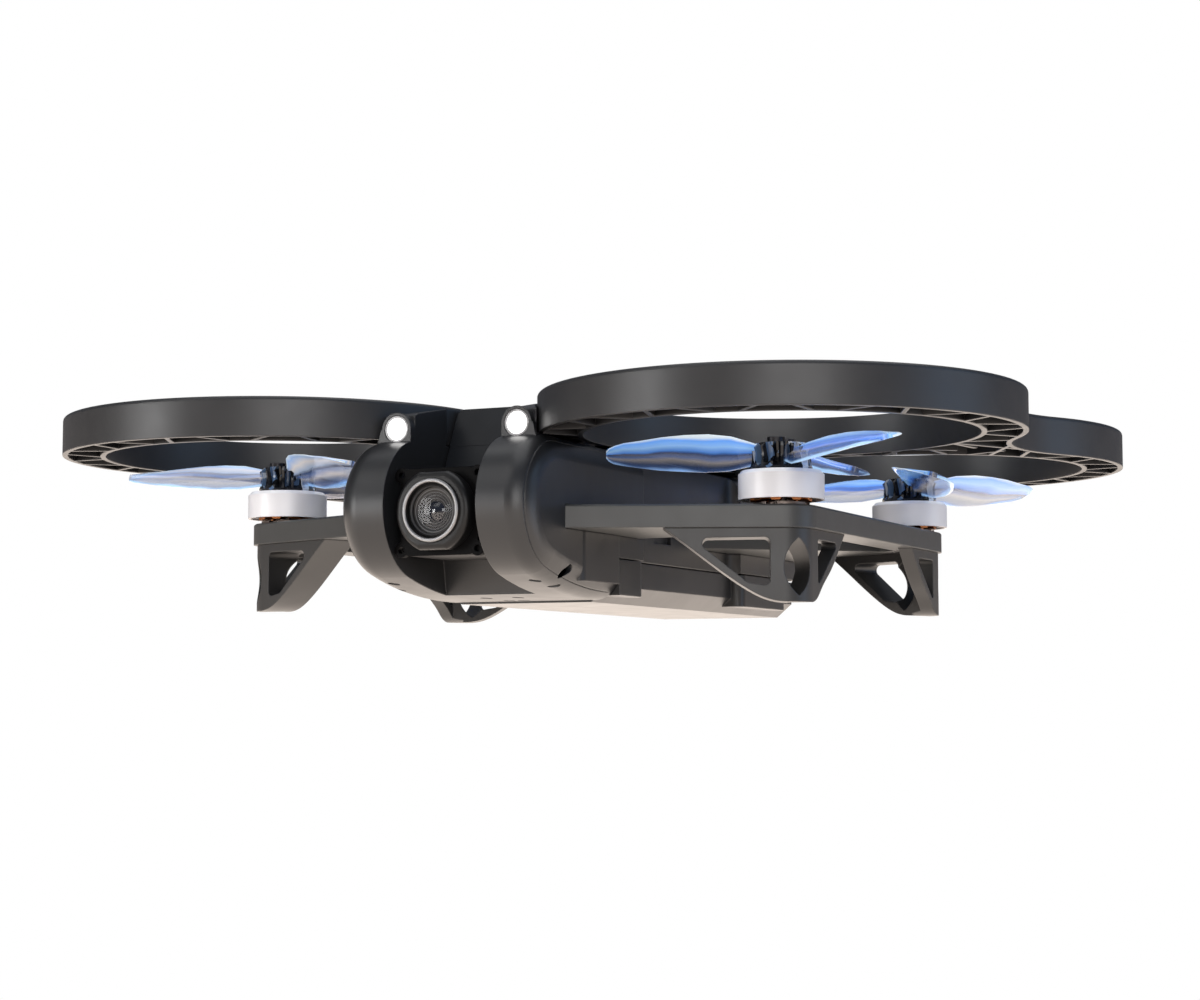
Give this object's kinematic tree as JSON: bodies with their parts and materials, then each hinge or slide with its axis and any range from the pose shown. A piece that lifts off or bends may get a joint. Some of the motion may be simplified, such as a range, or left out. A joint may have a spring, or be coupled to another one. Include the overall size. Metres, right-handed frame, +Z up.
{
  "type": "fpv racing drone",
  "caption": "Quadcopter drone with twin-ring prop guards, spinning rotors, tilting nose camera, landing legs and a slide-out battery.",
  "frame": {"origin": "on the ground plane, under the centre of the airframe's bounding box", "axes": "+X to the drone's right, across both rotor pairs; -Y towards the nose; +Z up"},
  "size_m": [0.2308, 0.1966, 0.0449],
  "materials": {
    "shell_black": "fine satin",
    "guard_black": "fine satin",
    "arm_grey": "satin",
    "bell_white": "satin",
    "steel": "satin",
    "screw_black": "satin",
    "copper": "enamelled wire",
    "magnet": "satin",
    "prop_clear": "clear gloss",
    "lens_black": "gloss",
    "lens_glass": "coated",
    "ring_silver": "turned",
    "board": "solder mask",
    "chassis": "satin",
    "aluminium": "satin",
    "rubber": "matte",
    "light_clear": "clear",
    "cell_wrap": "heat-shrink sleeve",
    "ceramic": "ceramic"
  },
  "bodies": {
    "airframe": {"antenna": "ceramic", "arm_frame_left": "arm_grey", "arm_frame_right": "arm_grey", "chassis_plate": "chassis", "flight_controller": "board", "frame_screws": "screw_black", "fuselage_shell": "shell_black", "guard_screws": "screw_black", "headlight_bezels": "ring_silver", "headlight_boards": "board", "headlight_lenses": "light_clear", "landing_leg_front_left": "shell_black", "landing_leg_front_right": "shell_black", "landing_leg_rear_left": "shell_black", "landing_leg_rear_right": "shell_black", "leg_screws": "screw_black", "motor_bases": "aluminium", "motor_bearings": "steel", "motor_controller": "board", "motor_screws": "screw_black", "prop_guard_left": "guard_black", "prop_guard_right": "guard_black", "stack_dampers": "rubber", "stator_cores": "steel", "stator_windings": "copper", "top_cover": "shell_black", "video_transmitter": "aluminium"},
    "rotor_front_right": {"motor_bell_front_right": "bell_white", "rotor_magnets_front_right": "magnet", "motor_shaft_front_right": "steel", "propeller_front_right": "prop_clear", "prop_screws_front_right": "screw_black"},
    "rotor_front_left": {"motor_bell_front_left": "bell_white", "rotor_magnets_front_left": "magnet", "motor_shaft_front_left": "steel", "propeller_front_left": "prop_clear", "prop_screws_front_left": "screw_black"},
    "rotor_rear_right": {"motor_bell_rear_right": "bell_white", "rotor_magnets_rear_right": "magnet", "motor_shaft_rear_right": "steel", "propeller_rear_right": "prop_clear", "prop_screws_rear_right": "screw_black"},
    "rotor_rear_left": {"motor_bell_rear_left": "bell_white", "rotor_magnets_rear_left": "magnet", "motor_shaft_rear_left": "steel", "propeller_rear_left": "prop_clear", "prop_screws_rear_left": "screw_black"},
    "camera": {"camera_housing": "shell_black", "camera_bracket": "shell_black", "camera_board": "board", "lens_barrel": "lens_black", "lens_ring": "ring_silver", "lens_glass": "lens_glass", "camera_pivots": "steel"},
    "battery": {"battery_case": "shell_black", "battery_lid": "shell_black", "battery_cells": "cell_wrap"},
    "latch_left": {"battery_latch_left": "shell_black"},
    "latch_right": {"battery_latch_right": "shell_black"},
    "power_button": {"power_button": "rubber"}
  },
  "joints": [
    {"name": "rotor_front_right_spin", "type": "hinge", "parent": "airframe", "child": "rotor_front_right", "pos_m": [0.0628, -0.0457, 0.031], "axis": [0, 0, 1], "continuous": true},
    {"name": "rotor_front_left_spin", "type": "hinge", "parent": "airframe", "child": "rotor_front_left", "pos_m": [-0.0628, -0.0457, 0.031], "axis": [0, 0, 1], "continuous": true},
    {"name": "rotor_rear_right_spin", "type": "hinge", "parent": "airframe", "child": "rotor_rear_right", "pos_m": [0.0628, 0.0457, 0.031], "axis": [0, 0, 1], "continuous": true},
    {"name": "rotor_rear_left_spin", "type": "hinge", "parent": "airframe", "child": "rotor_rear_left", "pos_m": [-0.0628, 0.0457, 0.031], "axis": [0, 0, 1], "continuous": true},
    {"name": "camera_tilt", "type": "hinge", "parent": "airframe", "child": "camera", "pos_m": [0, -0.073, 0.019], "axis": [-1, 0, 0], "range_deg": [-10, 30]},
    {"name": "battery_slide", "type": "slide", "parent": "airframe", "child": "battery", "axis": [0, 1, 0], "range_m": [0, 0.09]},
    {"name": "latch_left_press", "type": "slide", "parent": "battery", "child": "latch_left", "axis": [1, 0, 0], "range_m": [0, 0.0012]},
    {"name": "latch_right_press", "type": "slide", "parent": "battery", "child": "latch_right", "axis": [-1, 0, 0], "range_m": [0, 0.0012]},
    {"name": "power_button_press", "type": "slide", "parent": "airframe", "child": "power_button", "axis": [0, 0, -1], "range_m": [0, 0.0006]}
  ]
}
